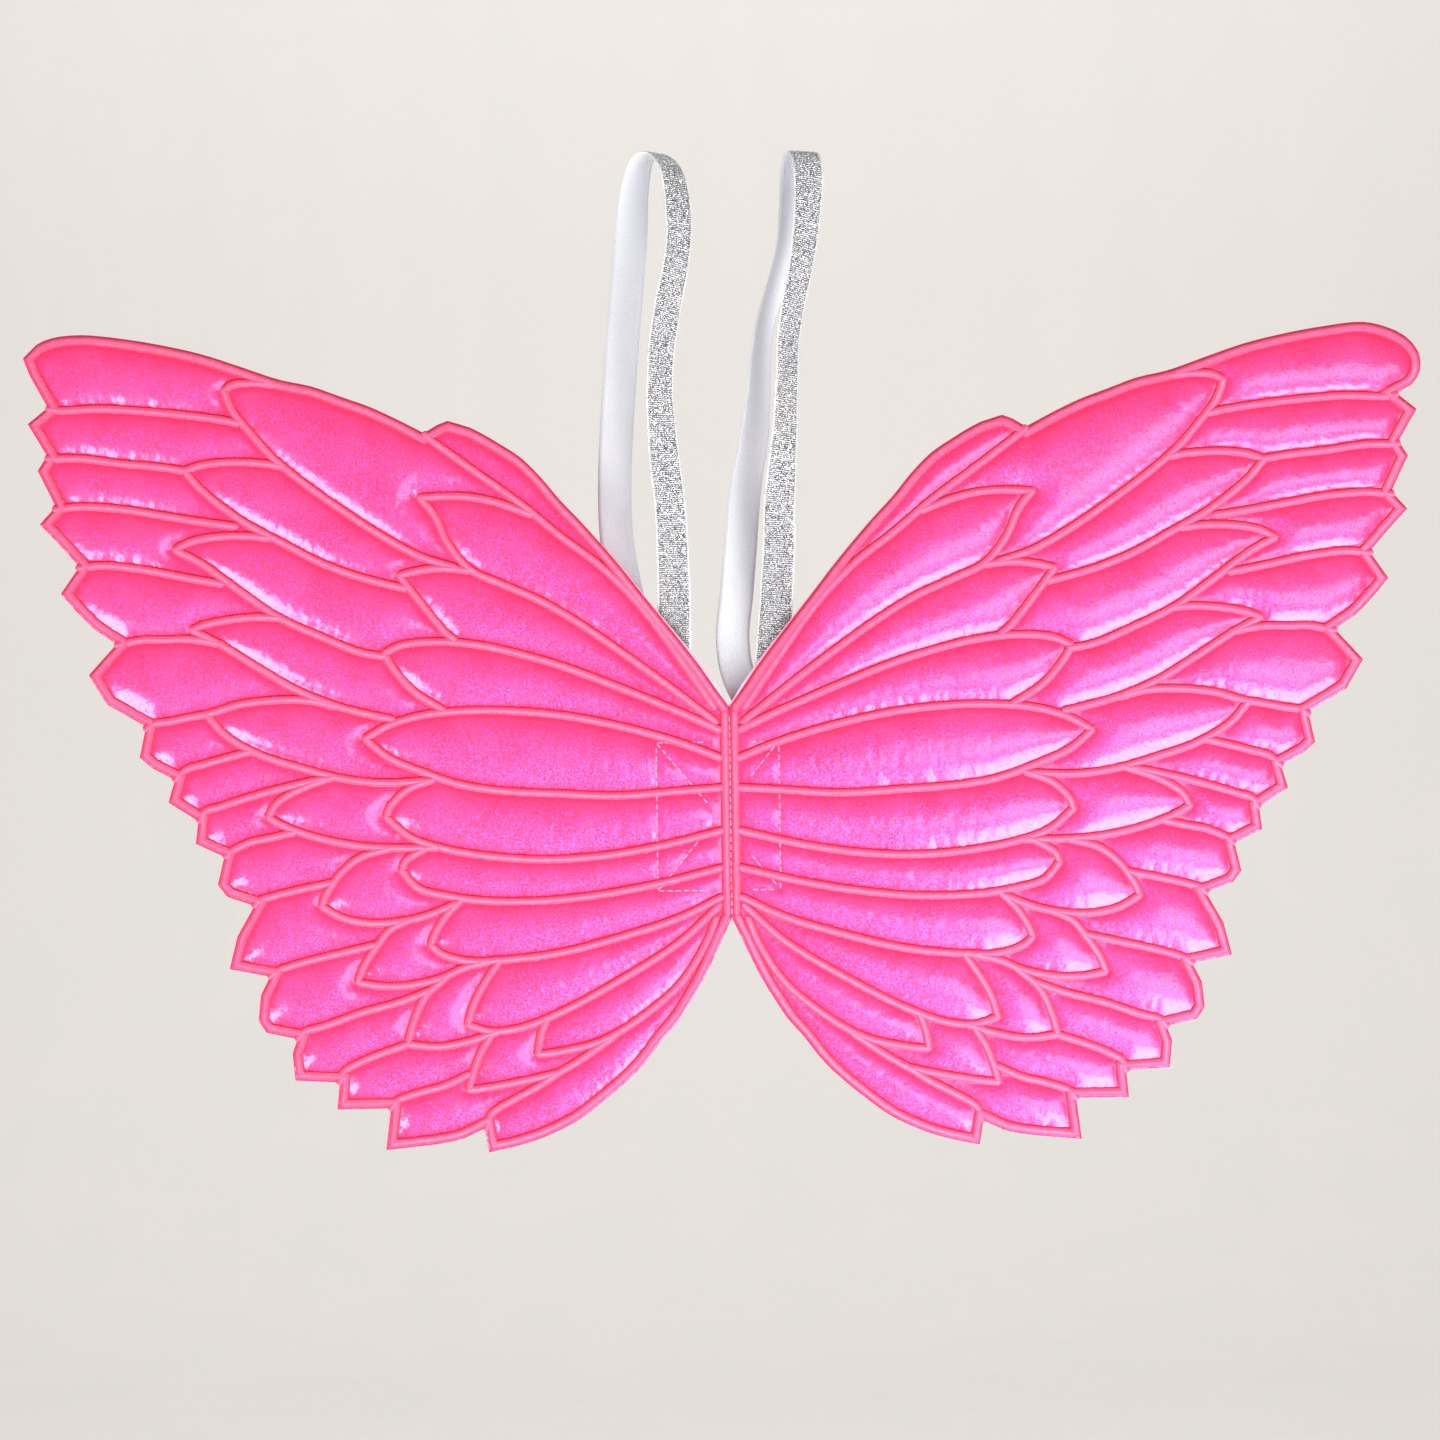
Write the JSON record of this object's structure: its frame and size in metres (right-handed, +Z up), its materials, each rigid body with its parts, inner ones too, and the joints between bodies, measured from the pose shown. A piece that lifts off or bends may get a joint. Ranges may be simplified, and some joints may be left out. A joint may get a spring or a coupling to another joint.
{
  "type": "fairy wings",
  "caption": "Padded costume wings quilted into feathers, hinged at a spine strip, with a back patch and elastic shoulder loops.",
  "frame": {"origin": "back face of the patch, on the spine between the wings, halfway up the patch", "axes": "+Z up, +X to the right seen from the glitter side, +Y out of the patch towards the wearer's back"},
  "size_m": [0.524, 0.031, 0.376],
  "materials": {
    "film": "iridescent glitter film, fused to foam and quilted",
    "foam": "thin polyester padding",
    "lining": "matt non-woven backing",
    "satin": "dense zigzag stitching with a silky gloss",
    "thread": "polyester lockstitch",
    "patch": "white felt",
    "elastic": "silver glitter face, white woven back"
  },
  "bodies": {
    "spine": {"spine_film": "film", "spine_foam": "foam", "spine_lining": "lining", "spine_satin_left": "satin", "spine_satin_right": "satin", "spine_stitch_row": "thread", "patch_middle": "patch", "patch_thread_top": "thread", "patch_thread_foot": "thread", "patch_thread_cross": "thread"},
    "left_wing": {"left_film_cover": "film", "left_foam_core": "foam", "left_lining": "lining", "left_satin_seams": "satin", "left_patch_flap": "patch", "left_patch_thread": "thread", "left_strap_upper_end": "elastic", "left_strap_lower_end": "elastic"},
    "right_wing": {"right_film_cover": "film", "right_foam_core": "foam", "right_lining": "lining", "right_satin_seams": "satin", "right_patch_flap": "patch", "right_patch_thread": "thread", "right_strap_upper_end": "elastic", "right_strap_lower_end": "elastic"},
    "left_strap": {"left_strap_loop": "elastic"},
    "right_strap": {"right_strap_loop": "elastic"}
  },
  "joints": [
    {"name": "left_wing_fold", "type": "hinge", "parent": "spine", "child": "left_wing", "pos_m": [-0.0053, -0.002, 0], "axis": [0, 0, 1], "range_deg": [-15, 85]},
    {"name": "right_wing_fold", "type": "hinge", "parent": "spine", "child": "right_wing", "pos_m": [0.0053, -0.002, 0], "axis": [0, 0, -1], "range_deg": [-15, 85]},
    {"name": "left_strap_flop", "type": "hinge", "parent": "left_wing", "child": "left_strap", "pos_m": [-0.0215, 0.0018, 0.0325], "axis": [-1, 0, 0], "range_deg": [0, 160]},
    {"name": "right_strap_flop", "type": "hinge", "parent": "right_wing", "child": "right_strap", "pos_m": [0.0138, 0.0018, 0.0325], "axis": [-1, 0, 0], "range_deg": [0, 160]}
  ]
}
